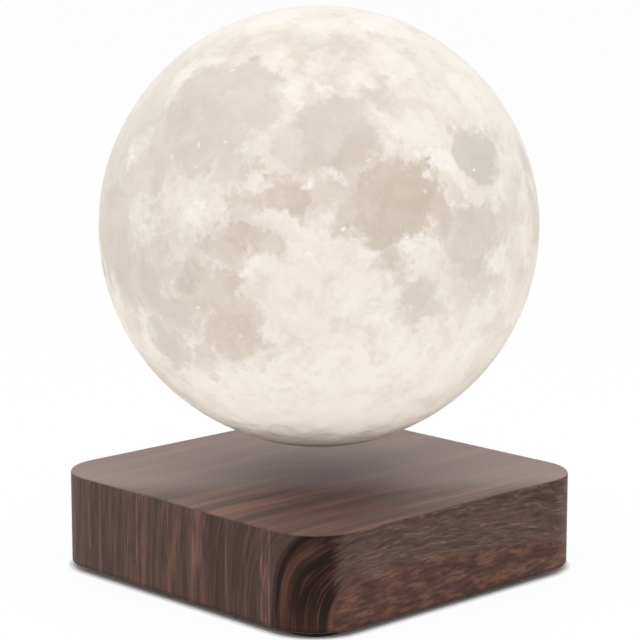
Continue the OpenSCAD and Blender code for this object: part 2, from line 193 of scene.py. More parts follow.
def new_material(name):
    """The graph of a new material."""
    material = bpy.data.materials.new(name)
    material.use_nodes = True
    return Graph(material.node_tree, material)


def add_piece(name, mesh, body, slot, *stands_for):
    """A piece that rides on a body and stands for CAD nodes."""
    piece = bpy.data.objects.new(name, mesh)
    scene.collection.objects.link(piece)
    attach(piece, body)
    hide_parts(*stands_for)
    return piece


# ---- walnut base ----

base_low, base_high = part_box("wood_housing")
WOOD_HALF = base_high.x
WOOD_CORNER = 17.5 * MM
FLAT_HALF = WOOD_HALF - WOOD_CORNER
EDGE_ROUND = 0.6 * MM
EDGE_STEPS = 3
ROUND_TRIP = 8 * FLAT_HALF + 2 * math.pi * WOOD_CORNER

# Tolerances of the block's mesh: one place, one plane, one height, its outer ring, and a level normal
ONE_PLACE = MM / 1000
ONE_PLANE = math.radians(0.1)
ONE_HEIGHT = MM / 100
OUTER_RING = MM
LEVEL = 0.7


def way_round(x, y):
    """How far (x, y) lies round the side walls from the middle of the front corner; right is positive."""
    if x + y < 0:
        return -way_round(-y, -x)
    middle_x = min(max(x, -FLAT_HALF), FLAT_HALF)
    middle_y = min(max(y, -FLAT_HALF), FLAT_HALF)
    turn = math.atan2(y - middle_y, x - middle_x) + math.pi / 4
    return WOOD_CORNER * turn + (middle_y + FLAT_HALF) + (FLAT_HALF - middle_x)


def on_rim(edge):
    """True for the edges between the outer walls and the top or the underside."""
    ends = [corner.co for corner in edge.verts]
    level = any(all(abs(end.z - z) < ONE_HEIGHT for end in ends) for z in (base_low.z, base_high.z))
    tilts = sorted(abs(face.normal.z) for face in edge.link_faces)
    outer = max(end.to_2d().length for end in ends) > WOOD_HALF - OUTER_RING
    return level and outer and tilts[0] < LEVEL < tilts[-1]


def unroll(mesh):
    """Gives the block a map whose x runs round its walls and whose y is the height."""
    layer = mesh.loops.layers.uv.new("way_round")
    for face in mesh.faces:
        centre = face.calc_center_median()
        near = way_round(centre.x, centre.y)
        for loop in face.loops:
            x, y, z = loop.vert.co
            run = way_round(x, y)
            run += ROUND_TRIP * round((near - run) / ROUND_TRIP)
            loop[layer].uv = (run, z)


def wood_mesh():
    """The CAD's block with rounded rims; its walls take the first material and its level faces the second."""
    block = bmesh.new()
    block.from_mesh(nodes["wood_housing"].data)
    bmesh.ops.remove_doubles(block, verts=block.verts, dist=ONE_PLACE)
    bmesh.ops.dissolve_limit(block, angle_limit=ONE_PLANE, verts=block.verts, edges=block.edges)
    rim = [edge for edge in block.edges if len(edge.link_faces) == 2 and on_rim(edge)]
    bmesh.ops.bevel(block, geom=rim, offset=EDGE_ROUND, segments=EDGE_STEPS, affect="EDGES", profile=0.5)
    bmesh.ops.triangulate(block, faces=[face for face in block.faces if len(face.verts) > 4])
    unroll(block)
    for face in block.faces:
        face.smooth = False
        face.material_index = int(abs(face.normal.z) > LEVEL)
    mesh = bpy.data.meshes.new("walnut_block")
    block.to_mesh(mesh)
    block.free()
    return mesh


# Grain of the walls, in millimetres round the base from the front corner. The upright grain of the -Y and +Y
# sides turns in arcs about ARC_CENTRE into the long grain of the +X and -X sides, and ends at the seam in the
# middle of the next corner
HALF_TRIP = ROUND_TRIP / 2 / MM
ARC_CENTRE = 22.0
ARC_POWER = 3.0
SEAM = ARC_CENTRE + HALF_TRIP / 2
LONG_FALL = 0.0009
WAVE_NOISE = (0.05, 0.035)
WAVE_STEP = (40.0, 5.0, 3.0, 5.5)
ALONG_RUN = 0.14
ALONG_HEIGHT = 0.045
PORE_NOISE = (2.4, 4.0, 0.65)
PORE_DEPTH = 0.05 * MM
# Painted shade: the walls turn darker along their lowest 2 to 3 millimetres, over the gap under the base
BOTTOM_SHADE_STEP = (1.8, 3.2, 0.5, 1.0)

# Streaks of any walnut: roughness of the noise, where its step starts and ends, how much darker and lighter
STREAK_DETAIL = 4.0
WIDE_STREAKS = (0.62, 0.32, 0.68, 0.26, 0.3)
THIN_STREAKS = (0.65, 0.3, 0.7, 0.16, 0.16)

# The plain veneer: its browns by ring, and its streaks as wide scale, thin scale and contrast
RING_SPAN = 140.0
WALL_BROWNS = ((0.18, rgb(92, 70, 63)), (0.27, rgb(78, 58, 53)), (0.45, rgb(76, 56, 51)),
               (0.62, rgb(84, 63, 57)), (0.85, rgb(86, 67, 61)))
WALL_STREAKS = (0.5, 2.0, 0.9)

# Warm bands: the middle of each, half its width, and how soft it is
WARM_BANDS = ((-76.0, 3.5, 4.0), (-60.0, 2.0, 3.5), (-47.0, 3.0, 3.5), (-17.0, 1.2, 1.4))
WARM_BROWN = rgb(116, 80, 69)
WARM_NOISE = (0.22, 0.05, 3.0, 0.6)
WARM_STEP = (0.38, 0.62, 0.1, 0.85)

# Light lines: where each is and its strength; LINE_WIDTH is half the width of each, and how soft it is
LIGHT_LINES = ((-99.3, 0.5), (-94.0, 0.3), (-82.0, 0.25), (-76.0, 0.3), (-61.0, 0.2), (-49.5, 0.3),
               (-34.0, 0.3), (-25.5, 0.2), (-18.2, 0.5), (-14.9, 0.4))
LINE_BROWN = rgb(152, 120, 108)
LINE_BEND = 0.6
LINE_WIDTH = (0.3, 0.4)
LINE_NOISE = (0.3, 0.09)
LINE_STEP = (0.36, 0.6, 0.1, 1.0)

# Dark and light dashes of the long grain: where each starts and ends in the noise, its share and its tone
LONG_GRAIN_STEP = (15.0, 11.0)
DASH_NOISE = (0.11, 0.85, 2.5, 0.6, 0.15)
DASHES = ((0.46, 0.36, 0.5, rgb(52, 37, 32)), (0.56, 0.68, 0.4, rgb(146, 116, 103)))

# The light zone at the bottom of the long grain, and the flecks that cross it
LIGHT_ZONE = 17.6
ZONE_STEP = (LIGHT_ZONE + 1.0, LIGHT_ZONE - 1.5)
ZONE_RAGGED = 6.0
ZONE_DARK = rgb(86, 57, 48)
ZONE_LIGHT = rgb(118, 82, 67)
ZONE_STREAKS = (0.9, 2.4, 0.6)
ZONE_NOISE = (0.12, 0.28)
SHINE_STEP = (0.4, 0.65)
ZONE_SHARE = 0.9
FLECK_ALONG = (0.17, 0.05)    # per millimetre of run and of height
FLECK_ACROSS = (0.85, 0.08)   # per millimetre of height and, less, of run
FLECK_NOISE = (1.0, 3.0, 0.55, 0.4)
FLECK_STEP = (0.44, 0.62)
FLECK_BROWN = rgb(56, 35, 29)
FLECK_SHARE = 0.6

# The dark heart at the front and back corners, from ring to ring, and the red arc in it: heartwood figure,
# made darker as painted shade of the front corner
HEART_START_STEP = (16.2, 18.2)
HEART_END_STEP = (37.5, 35.0)
HEART_SIDE_STEP = (12.0, 17.5)
HEART_RAGGED = 14.0
HEART_SHARE = 0.95
ARC_ACROSS = 1.1
ARC_ALONG = 0.05
ARC_NOISE = (1.0, 3.0, 0.6)
HEART_AND_SHADE_BROWNS = ((0.35, rgb(20, 9, 7)), (0.52, rgb(34, 18, 13)), (0.68, rgb(80, 52, 43)))
RED_BROWNS = ((0.35, rgb(60, 36, 30)), (0.65, rgb(94, 61, 51)))
RED_ARC = (31.6, 1.6, 1.4)
RED_STEP = (17.0, 23.0)
PALE_BROWN = rgb(72, 48, 41)
PALE_ARC_STEP = (0.35, 0.65, 0.7, 1.3)
PALE_STEP = (14.0, 3.0)
PALE_SHARE = 0.35

# The top: its bend, its grey browns, lightened by a painted reflection of the bright surroundings, and the
# deep ones towards the front corner, which is where DEEP_WAY times x and y grows: partly the wood's darker
# hue and partly painted shade under the ball
TOP_BEND_NOISE = (0.02, 0.012)
TOP_BEND = 12.0
TOP_ALONG = 0.045
TOP_NOISE = (0.09, 3.0, 0.55)
TOP_SHEEN_BROWNS = ((0.35, rgb(128, 107, 102)), (0.5, rgb(135, 111, 105)), (0.65, rgb(146, 119, 110)))
TOP_STREAKS = (0.5, 1.9, 0.22)
DEEP_NOISE = (0.16, 3.0, 0.6)
DEEP_SHADE_BROWNS = ((0.38, rgb(66, 39, 31)), (0.5, rgb(84, 52, 42)), (0.64, rgb(116, 76, 61)))
DEEP_STREAKS = (0.5, 1.9, 0.8)
DEEP_WAY = (0.9, 0.8)
DEEP_STEP = (12.0, 42.0)
TOP_PORE_NOISE = (2.0, 4.0, 0.65)
TOP_PORE_DEPTH = 0.03 * MM


def streaks(g, way, scale, contrast, rough, start, end, darker, lighter):
    """Streaks of one width, as a factor about 1."""
    noise = g.noise(way, scale, STREAK_DETAIL, rough)
    return g.step(noise, start, end, 1 - darker * contrast, 1 + lighter * contrast)


def grain_tone(g, way, wide_scale, thin_scale, contrast):
    """Two widths of streaks as one factor about 1; way is longer across the grain than along it."""
    wide = streaks(g, way, wide_scale, contrast, *WIDE_STREAKS)
    thin = streaks(g, way, thin_scale, contrast, *THIN_STREAKS)
    return g.times(wide, thin)


def tint(g, colour, tone):
    """A colour made darker or lighter by a factor."""
    return g.mix(1.0, colour, g.join(tone, tone, tone), "MULTIPLY")


def band(g, value, middle, half, soft):
    """1 near middle, 0 from half + soft on."""
    off = g.math("ABSOLUTE", g.minus(value, middle))
    return g.step(off, half + soft, max(half - soft, 0.0))


def stretched(g, x, y, per_x, per_y):
    """A flat place whose noise is finer the larger per_x and per_y are."""
    return g.join(g.times(x, per_x), g.times(y, per_y), 0.0)


def flat_noise(g, x, y, per_x, per_y, detail=2.0, rough=0.5, distortion=0.0):
    return g.noise(stretched(g, x, y, per_x, per_y), 1.0, detail, rough, distortion)


def veneer(g, run, height):
    """How far a place lies up the upright grain, out from the centre of the arcs, and how its lines wave."""
    back = g.math("FLOORED_MODULO", g.minus(ARC_CENTRE, run), HALF_TRIP)
    sheet = g.math("LESS_THAN", back, SEAM)
    upright = g.times(back, sheet)
    along = g.times(g.minus(HALF_TRIP, back), g.minus(1.0, sheet))
    powers = g.plus(g.math("POWER", upright, ARC_POWER), g.math("POWER", height, ARC_POWER))
    wave = g.centred(flat_noise(g, run, height, *WAVE_NOISE))
    wave = g.times(wave, g.step(upright, *WAVE_STEP))
    fall = g.times(g.times(along, along), LONG_FALL)
    rings = g.plus(g.plus(g.math("POWER", powers, 1 / ARC_POWER), wave), fall)
    return upright, rings, wave


def light_lines(g, run, height, wave):
    """Thin light lines in the upright grain, broken along their length."""
    bent = g.plus(run, g.times(wave, LINE_BEND))
    lines = g.largest(g.times(band(g, bent, place, *LINE_WIDTH), strength) for place, strength in LIGHT_LINES)
    return g.times(lines, g.step(flat_noise(g, run, height, *LINE_NOISE), *LINE_STEP))


def plain_veneer(g, run, height, rings, way, wave):
    """The brown of the walls with its warm bands, streaks and light lines."""
    ground = g.ramp(g.math("DIVIDE", rings, RING_SPAN), *WALL_BROWNS)
    warm = g.largest(band(g, run, *place) for place in WARM_BANDS)
    ragged = g.step(flat_noise(g, run, height, *WARM_NOISE), *WARM_STEP)
    colour = g.mix(g.times(warm, ragged), ground, WARM_BROWN)
    colour = tint(g, colour, grain_tone(g, way, *WALL_STREAKS))
    return g.mix(light_lines(g, run, height, wave), colour, LINE_BROWN)


def long_dashes(g, colour, dash, long_grain):
    """Dark and light dashes over the long grain."""
    for start, end, share, tone in DASHES:
        dashes = g.times(g.step(dash, start, end), long_grain)
        colour = g.mix(g.times(dashes, share), colour, tone)
    return colour


def light_zone(g, colour, run, height, rings, dash, way):
    """The light zone low in the long grain, crossed by short dark flecks that climb to the right."""
    edge = g.plus(rings, g.times(g.centred(dash), ZONE_RAGGED))
    low = g.step(edge, *ZONE_STEP)
    along = g.plus(g.times(run, FLECK_ALONG[0]), g.times(height, FLECK_ALONG[1]))
    across = g.minus(g.times(height, FLECK_ACROSS[0]), g.times(run, FLECK_ACROSS[1]))
    flecks = g.step(g.noise(g.join(along, across, 0.0), *FLECK_NOISE), *FLECK_STEP)
    shine = g.step(flat_noise(g, run, height, *ZONE_NOISE), *SHINE_STEP)
    light = tint(g, g.mix(shine, ZONE_DARK, ZONE_LIGHT), grain_tone(g, way, *ZONE_STREAKS))
    light = g.mix(g.times(flecks, FLECK_SHARE), light, FLECK_BROWN)
    return g.mix(g.times(low, ZONE_SHARE), colour, light)


def heart_and_corner_shade(g, colour, run, height, upright, rings, dash):
    """The dark heart: fine arcs, a red one through them, and paler towards the floor; heartwood, deepened as
    painted shade of the front corner.
    """
    ragged_up = g.plus(upright, g.times(g.centred(dash), HEART_RAGGED))
    heart = g.times(g.step(rings, *HEART_START_STEP), g.step(rings, *HEART_END_STEP))
    heart = g.times(heart, g.step(ragged_up, *HEART_SIDE_STEP))
    arc_way = g.join(g.times(rings, ARC_ACROSS), g.times(run, ARC_ALONG), g.times(height, ARC_ALONG))
    arcs = g.noise(arc_way, *ARC_NOISE)
    dark = g.ramp(arcs, *HEART_AND_SHADE_BROWNS)
    red = g.ramp(arcs, *RED_BROWNS)
    dark = g.mix(g.times(band(g, rings, *RED_ARC), g.step(upright, *RED_STEP)), dark, red)
    paler = g.times(g.step(height, *PALE_STEP), PALE_SHARE)
    dark = g.mix(paler, dark, tint(g, PALE_BROWN, g.step(arcs, *PALE_ARC_STEP)))
    return g.mix(g.times(heart, HEART_SHARE), colour, dark)


def walnut_side():
    """The walls of the block."""
    g = new_material("walnut_side")
    run, height, _ = g.xyz(g.scaled(g.add("UVMap", {}, uv_map="way_round"), 1 / MM))
    upright, rings, wave = veneer(g, run, height)
    long_grain = g.step(upright, *LONG_GRAIN_STEP)
    way = g.join(rings, g.times(run, ALONG_RUN), g.times(height, ALONG_HEIGHT))
    colour = plain_veneer(g, run, height, rings, way, wave)
    dash = flat_noise(g, run, rings, *DASH_NOISE)
    colour = long_dashes(g, colour, dash, long_grain)
    colour = light_zone(g, colour, run, height, rings, dash, way)
    # heartwood figure, partly painted shade of the front corner
    colour = heart_and_corner_shade(g, colour, run, height, upright, rings, dash)
    # painted shade along the bottom of the walls
    colour = tint(g, colour, g.step(height, *BOTTOM_SHADE_STEP))
    grain = g.bump(g.noise(way, *PORE_NOISE), PORE_DEPTH)
    return g.surface(base_color=colour, roughness=0.5, normal=grain, specular_ior_level=0.12)


def walnut_top():
    """The top and the underside: streaks along Y in grey browns lightened by a painted reflection of the
    bright surroundings, redder and darker towards the front corner, partly the wood's hue and partly painted
    shade under the ball.
    """
    g = new_material("walnut_top")
    x, y, _ = g.xyz(g.place())
    bend = g.times(g.centred(flat_noise(g, x, y, *TOP_BEND_NOISE)), TOP_BEND)
    way = stretched(g, g.plus(x, bend), y, 1.0, TOP_ALONG)
    # grey browns that hold a painted reflection of the bright surroundings
    ground = g.ramp(g.noise(way, *TOP_NOISE), *TOP_SHEEN_BROWNS)
    ground = tint(g, ground, grain_tone(g, way, *TOP_STREAKS))
    front = g.minus(g.times(x, DEEP_WAY[0]), g.times(y, DEEP_WAY[1]))
    # towards the front: the wood's darker hue and painted shade under the ball
    near = g.step(front, *DEEP_STEP)
    deep = g.ramp(g.noise(way, *DEEP_NOISE), *DEEP_SHADE_BROWNS)
    deep = tint(g, deep, grain_tone(g, way, *DEEP_STREAKS))
    grain = g.bump(g.noise(way, *TOP_PORE_NOISE), TOP_PORE_DEPTH)
    colour = g.mix(near, ground, deep)
    return g.surface(base_color=colour, roughness=0.5, normal=grain, specular_ior_level=0.5)


# ---- moon ----

shell_low, shell_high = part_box("moon_shell")
MOON_R = (shell_high.x - shell_low.x) / 2
MOON_Z = shell_high.z - MOON_R
SHELL_WALL = 1.6 * MM
NECK_WALL = 1.6 * MM
NECK_HEIGHT = 6 * MM
OPENING_R = math.sqrt(MOON_R ** 2 - (MOON_Z - shell_low.z) ** 2)

# How the lunar map lies on the ball, fitted to the photograph: MAP_NORTH points to its north pole, MAP_FACE
# to longitude 0 and latitude 0, and MAP_EAST to longitude 90
MAP_NORTH = Vector((-0.1073, -0.0092, 0.9942)).normalized()
NEAR_FACE = Vector((0.5762, -0.8155, 0.0547))
MAP_EAST = MAP_NORTH.cross(NEAR_FACE).normalized()
MAP_FACE = MAP_EAST.cross(MAP_NORTH)

# The dark plains as round patches: longitude east, latitude north and radius in degrees, and strength. They
# and the lists that follow are given one by one, and adjusted against the photograph
BROWN_PLAINS = (
    # Tranquillitatis, and a bay south of Nubium
    (28, 9, 9, 1), (36, 11, 7.5, 1), (24, 4, 6, 0.95), (33, 5, 6, 0.95), (41, 5, 4, 0.85), (30, 14, 6, 1),
    (36, 14.5, 3.5, 0.85), (22, 10, 5, 0.9), (48, 8.5, 2.2, 0.5), (28, -4, 3, 0.7), (19, 6, 4, 0.75),
    (19, 11, 3.5, 0.65), (41.5, 3, 3, 0.6), (17, 13.5, 3.6, 0.65), (14, 17, 2.6, 0.5), (-9, -29, 2.6, 0.7),
    (30, -9, 2.5, 0.6),
    # The small central ones
    (4, 13.5, 4, 0.95), (7, 11, 3, 0.95), (0, 14, 2, 0.8), (13, 9, 3.5, 0.6), (-7.5, 18, 2, 0.5),
    (-3, 20, 1.6, 0.6), (-4, 11.5, 2.2, 0.8), (-8.5, 11, 3.8, 0.6), (-9, 4, 3.5, 0.9), (-4, 1.5, 2.5, 0.85),
    (-14, 2, 4, 0.75), (-11, -2, 2.5, 0.5), (0.5, 1, 2.5, 0.6), (-16, 6, 3, 0.4),
    # Nubium and Cognitum
    (-14, -15, 4, 0.74), (-12, -19, 5, 0.8), (-10, -23, 4.5, 0.78), (-15, -25, 5, 0.7),
    (-19.5, -20.5, 4.5, 0.7), (-8, -15, 2.5, 0.7), (-6.5, -28, 3.5, 0.65), (-13.5, -7, 4.5, 0.75),
    (-16, -11, 5, 0.7), (-13, -30, 3, 0.45), (-22, -9, 5, 0.7), (-24, -13, 4, 0.62), (-21, -5, 4, 0.6),
    (-28, -11, 3.5, 0.5),
    # The shore of Serenitatis, and the ground south of it
    (26, 20.5, 3.5, 0.6), (20, 17.5, 4, 0.6), (-7, 7, 2.5, 0.5), (11, 21, 3, 0.45), (12, 15, 4.5, 0.5),
)
GREY_PLAINS = (
    # Procellarum
    (-57, 18, 14, 0.5), (-50, 30, 11, 0.55), (-62, 28, 8, 0.5), (-45, 12, 11, 0.55), (-55, 5, 12, 0.7),
    (-47, -5, 8, 0.85), (-42, 18, 10, 0.55), (-50, 41, 7, 0.5), (-35, 4, 7, 0.7), (-56, 52, 6, 0.45),
    (-40, -8, 7, 0.85), (-34, -7.5, 5.5, 0.75), (-33, -14, 5, 0.8), (-50, -12, 5, 0.7), (-29, -18, 3.5, 0.8),
    (-27, -5, 4.5, 0.7), (-19, 16, 3.5, 0.5),
    # Imbrium and Serenitatis
    (-15.6, 34, 15, 0.7), (-25, 40, 8, 0.8), (-18, 43, 6, 0.8), (-10, 44, 6, 0.7), (-3, 44, 4, 0.7),
    (-28, 33, 9, 0.8), (-20, 27, 9, 0.8), (-35, 25, 7, 0.65), (-8, 36, 8, 0.65), (-12, 21, 5, 0.6),
    (-31.5, 44, 4.4, 0.85), (-29, 6, 5, 0.5), (-22, 1, 5, 0.5), (6.5, 24, 4.5, 0.7), (2, 26, 3, 0.4),
    (3, 22, 3, 0.3), (17.5, 28, 10.3, 0.85), (14, 32, 4, 0.6), (29, 27, 2.5, 0.45), (21, 43, 3.5, 0.5),
    (11.5, 37, 3.2, 0.5),
    # Fecunditatis and Nectaris
    (50, -2, 7, 0.85), (52, -9, 6, 0.85), (51, -15, 4, 0.5), (56, 0, 5, 0.85), (45, -1, 3.5, 0.75),
    (57, -14, 4.5, 0.65), (62, 0, 4, 0.6), (50, -22, 2, 0.3), (44, -16, 1.5, 0.4), (47, -11, 2, 0.5),
    (54, -19, 3, 0.5), (26, -6, 3, 0.45), (35, -15, 5, 0.8), (34, -13.5, 3.5, 0.7), (37, -18, 4, 0.7),
    (32, -21, 2, 0.4),
    # The northern ones
    (33, 37, 3.5, 0.7), (27, 33.5, 2.5, 0.8), (38, 34, 3, 0.5), (22, 37, 1.5, 0.4), (25, 48, 4, 0.35),
    (5, 56, 4, 0.3), (15, 56, 4, 0.4), (25, 55, 4, 0.5), (32, 54, 4, 0.5), (-5, 57, 3, 0.3),
    (-20, 58, 4, 0.35), (-35, 58, 4, 0.3), (-45, 58, 3, 0.3), (52, 45, 5, 0.2),
    # The eastern edge
    (86, 13, 4, 0.7), (82, 5, 2, 0.6), (87, -1, 5, 0.6), (69, 7, 2.5, 0.5), (72, 12, 1.5, 0.4),
    (66, 2, 2, 0.5), (60, 4, 2, 0.4), (68, 22, 1.8, 0.5),
    # Humorum, and loose patches of the near side
    (-38.6, -23.5, 6.2, 0.95), (-37, -27, 4.5, 0.85), (-40, -20, 4, 0.8), (-31, -27, 2, 0.4),
    (-27.5, -30, 3.5, 0.85), (-27, -26.5, 3.6, 0.7), (-20, 50, 2.5, 0.4), (-34, 11, 4, 0.6),
    # The far side
    (147, 27, 4.5, 0.85), (129, -20.5, 3.2, 0.9), (163, -34, 5, 0.7), (-95, -19, 4.5, 0.7),
    (-88, -24, 2.5, 0.5), (-170, -45, 13, 0.4), (-178, -56, 11, 0.4), (-155, -38, 7, 0.5),
    (152, -52, 6, 0.5), (-152, 12, 8, 0.25), (104, -12, 3, 0.45), (98, 22, 4, 0.4), (117, 10, 6, 0.3),
    (-129, 37, 5, 0.35), (174, 5, 7, 0.25),
)
# Plains with sharper edges
SHARP_PLAINS = (
    # Crisium
    (55.5, 17.5, 5.8, 0.8), (60, 18.5, 6.2, 0.85), (63, 17.5, 4.4, 0.8), (58.5, 14, 4.6, 0.95),
    (62, 13.5, 3.6, 0.95), (57.5, 21, 3.4, 0.7),
    # Dark crater floors
    (-9.4, 51.6, 1.3, 0.9), (-68.3, -5.5, 2.6, 0.8), (57, 54, 1.7, 0.5), (79, 58, 2.2, 0.5),
)

# Bright ground: the surroundings of the ray craters, and the pale highland between the plains
BRIGHT_GROUND = (
    (-20, 9.8, 7.5, 0.45), (-20, 9.6, 1.6, 0.9), (-38, 8, 5.5, 0.6), (-38, 8, 1, 0.9), (-47.5, 23.7, 1, 0.9),
    (-46, 27, 4, 0.5), (-11.2, -43.3, 13, 0.7), (46.8, 16.1, 2.6, 0.8), (42.5, 15.5, 2.4, 0.95),
    (41.5, 18.5, 1.8, 0.8), (32.7, -0.4, 1.5, 0.9), (45, 22, 4, 0.4), (36, 26, 5, 0.4), (60.9, -8.9, 3, 0.7),
    (54, -32, 6, 0.6), (-63.7, -24.5, 5, 0.7), (9.1, 14.5, 1.1, 0.8), (16, 16.3, 0.7, 0.6), (58, 57, 4, 0.6),
    (61, 28, 6, 0.45), (12.5, 5, 3.4, 0.5), (-5.5, 25, 2.5, 0.5), (-5.5, 16.5, 1.6, 0.5), (62, 7, 2.5, 0.5),
    (35, -7.5, 3.4, 0.6), (36, -26, 3.5, 0.5), (-31, -10, 2, 0.4), (25, -13, 3, 0.5), (50, 12, 2.6, 0.6),
    (47, 43, 5, 0.5), (53, 35, 5, 0.5), (30, 45, 4, 0.35), (29, -22, 3, 0.4), (18, 60, 4, 0.3),
    (2, -35, 6, 0.5), (-3, -24, 3, 0.5), (-46, -22, 3, 0.5), (43, -16.5, 1.8, 0.4), (50, 62, 4, 0.9),
    (-10, 73.5, 6, 0.8), (27, -14, 3.5, 0.6), (26, -19, 4, 0.6), (3.3, -28, 4, 0.4), (-6, -5, 3.5, 0.6),
    (5, 39, 3.5, 0.5), (17, 38.5, 2.2, 0.6), (-40, 48, 4, 0.6), (36, -3, 3, 0.5), (32, -2.5, 2.2, 0.5),
    (-62, -15, 5, 0.4), (15, -28, 6, 0.4), (43.5, 31, 6, 0.3), (70, 33, 7, 0.6), (80, 42, 7, 0.5),
    (-2, -46, 20, 0.6), (15.5, -14, 3.6, 0.6), (60, -22, 5, 0.4), (22, -2.5, 1.6, 0.4),
    (-25.5, -17, 1.4, 0.3), (45.5, 7, 1.2, 0.3), (54.5, -24, 3, 0.5), (49, -24, 3, 0.5), (27, -25, 4, 0.5),
    (34, -31, 6, 0.7), (0, -33, 4, 0.5), (67, 12, 3, 0.4), (-25, -46, 15, 0.5), (20, -48, 15, 0.45),
    (0, -56, 14, 0.8), (0, -36, 5, 0.5),
)
# Pin-point bright craters: longitude, latitude, radius, strength
BRIGHT_CRATERS = (
    (-47.5, 23.7, 0.6, 0.9), (-29.2, 23.3, 0.3, 0.6), (-21, 25.8, 0.3, 0.6), (-13.1, 26.7, 0.3, 0.5),
    (-20.6, 20.5, 0.3, 0.5), (9.1, 14.5, 0.5, 0.9), (16, 16.3, 0.5, 0.8), (17.3, 2.8, 0.4, 0.9),
    (32.7, -0.4, 0.4, 0.9), (-29.5, -7.4, 0.4, 0.7), (-22.5, -14.5, 0.4, 0.6), (-12.6, -22.3, 0.3, 0.5),
    (8.7, -2.3, 0.4, 0.8), (46.8, 16.1, 0.6, 0.9), (55, 13.6, 0.3, 0.8), (38.4, 10.3, 0.3, 0.5),
    (-17, 47.5, 0.4, 0.6), (25.1, 18.9, 0.3, 0.5), (-25.5, -3.5, 0.3, 0.5), (-33.6, -10, 0.3, 0.4),
    (-36.5, -17, 0.4, 0.6), (-28.5, -24.8, 0.4, 0.6), (26.4, -28.5, 0.5, 0.4), (12.7, -34, 0.5, 0.4),
    (-16.3, -49.6, 0.6, 0.4), (22, -36, 0.5, 0.4), (3.5, -17.6, 0.4, 0.4), (29.2, 31.7, 0.5, 0.4),
    (50.5, 34.6, 0.6, 0.5), (53.7, 25, 0.7, 0.6), (62, 23.5, 0.6, 0.6), (40, 22, 0.6, 0.4),
    (-40.5, 39, 0.6, 0.4), (-35, 47, 0.6, 0.5), (16.4, 40, 0.6, 0.4), (2.4, 52, 0.7, 0.4),
)

# Craters with rays: longitude, latitude, how far the rays reach in degrees, and strength
RAY_CENTRES = ((-11.2, -43.3, 62, 0.75), (-20.1, 9.6, 18, 0.6), (-38, 8.1, 13, 0.6), (50.3, 61.8, 25, 0.4),
               (60.9, -8.9, 14, 0.4), (-10.1, 73.5, 30, 0.5))

# The mesh of the ball: rows from the top to the opening, and columns round it
BALL_ROWS = 220
BALL_COLUMNS = 400
INSIDE_ROWS = 24

# Relief of the print: how deep a crater is for its radius and how high its rim is for its depth. The rim's
# place, width and reach are parts of the radius, and a crater of SHALLOW_RADIUS, an angle, is half as deep
CRATER_DEPTH = 0.11
SHALLOW_RADIUS = 0.05
BOWL_POWER = 4
RIM_HEIGHT = 0.3
RIM_PLACE = 1.05
RIM_WIDTH = 0.25
RIM_REACH = 1.8
RELIEF_MARGIN = 0.15 * MM
CALM_NEAR_OPENING = math.radians(5)

# Small craters from a fixed seed: most are small, and fewer stay on the plains
CRATER_SEED = 11
SMALL_CRATERS = 700
SHARE_ON_PLAINS = 0.25
SIZE_POWER = 3
SMALLEST_CRATER = 0.9 * MM
LARGEST_CRATER = 4.5 * MM

# Craters deep enough to feel: longitude, latitude and radius in degrees
LARGE_CRATERS = (
    (-20.1, 9.6, 1.6), (-38, 8.1, 0.8), (-11.2, -43.3, 1.5), (-14.4, -58.4, 3.8), (-9.4, 51.6, 1.7),
    (26.4, -11.4, 1.7), (-2, -9.2, 2.6), (-2.8, -13.4, 1.9), (-1.9, -18.2, 1.6), (60.4, -25.1, 3),
    (60.9, -8.9, 2.2), (-39.9, -17.6, 1.9), (-55, -44.5, 3.6), (5.6, -25.1, 2.1), (3.3, -28, 1.2),
    (-4, 29.7, 1.4), (-11.3, 14.5, 1), (30, 31.7, 1.6), (39.3, 46.7, 1.4), (44.4, 49.8, 1.4),
    (17.4, 50.2, 1.4), (33.3, -29.7, 3.1), (22.1, -41.6, 1.9), (14, -41.1, 1.9), (-6, -50.1, 2.7),
    (-68.3, -5.5, 2.8), (57, 53.9, 2), (24.1, -18, 1.6), (-5.2, -7, 1.2), (58, -42, 2), (-33, -51, 2),
    (10, -58, 2.4), (35, -50, 1.9), (48, -35, 1.3), (-47.5, 23.7, 0.7), (0.8, -31, 2.6), (-70, 37, 1.5),
    # The far side
    (147, 27, 4.4), (129, -20.5, 3), (-95, -19, 4.6), (-157, 5, 3.2), (-129, 37, 3), (175, -15, 2.4),
    (-141, -36, 3), (104, 35, 2.6), (120, 55, 3), (-110, 10, 2.4), (160, 50, 2.2), (135, -62, 3),
    (-100, -50, 3.4), (141, 5, 2.2),
)


def map_way(longitude, latitude):
    """The direction in which a place of the lunar map lies, from the centre of the ball."""
    turn, rise = math.radians(longitude), math.radians(latitude)
    level = MAP_FACE * math.cos(turn) + MAP_EAST * math.sin(turn)
    return level * math.cos(rise) + MAP_NORTH * math.sin(rise)


def smooth(value):
    """0 up to 0, 1 from 1 on, and smooth between them."""
    value = np.clip(value, 0, 1)
    return value * value * (3 - 2 * value)


def crater_list():
    """Every crater of the relief: its direction and its radius as an angle."""
    craters = [(np.array(map_way(lon, lat)), math.radians(radius)) for lon, lat, radius in LARGE_CRATERS]
    chance = np.random.default_rng(CRATER_SEED)
    plains = [(np.array(map_way(lon, lat)), math.radians(radius))
              for lon, lat, radius, _ in BROWN_PLAINS + GREY_PLAINS + SHARP_PLAINS]
    for _ in range(SMALL_CRATERS):
        way = chance.normal(size=3)
        way /= np.linalg.norm(way)
        radius = SMALLEST_CRATER * (LARGEST_CRATER / SMALLEST_CRATER) ** (chance.random() ** SIZE_POWER)
        on_plain = any(way @ middle > math.cos(reach) for middle, reach in plains)
        if not on_plain or chance.random() < SHARE_ON_PLAINS:
            craters.append((way, radius / MOON_R))
    return craters


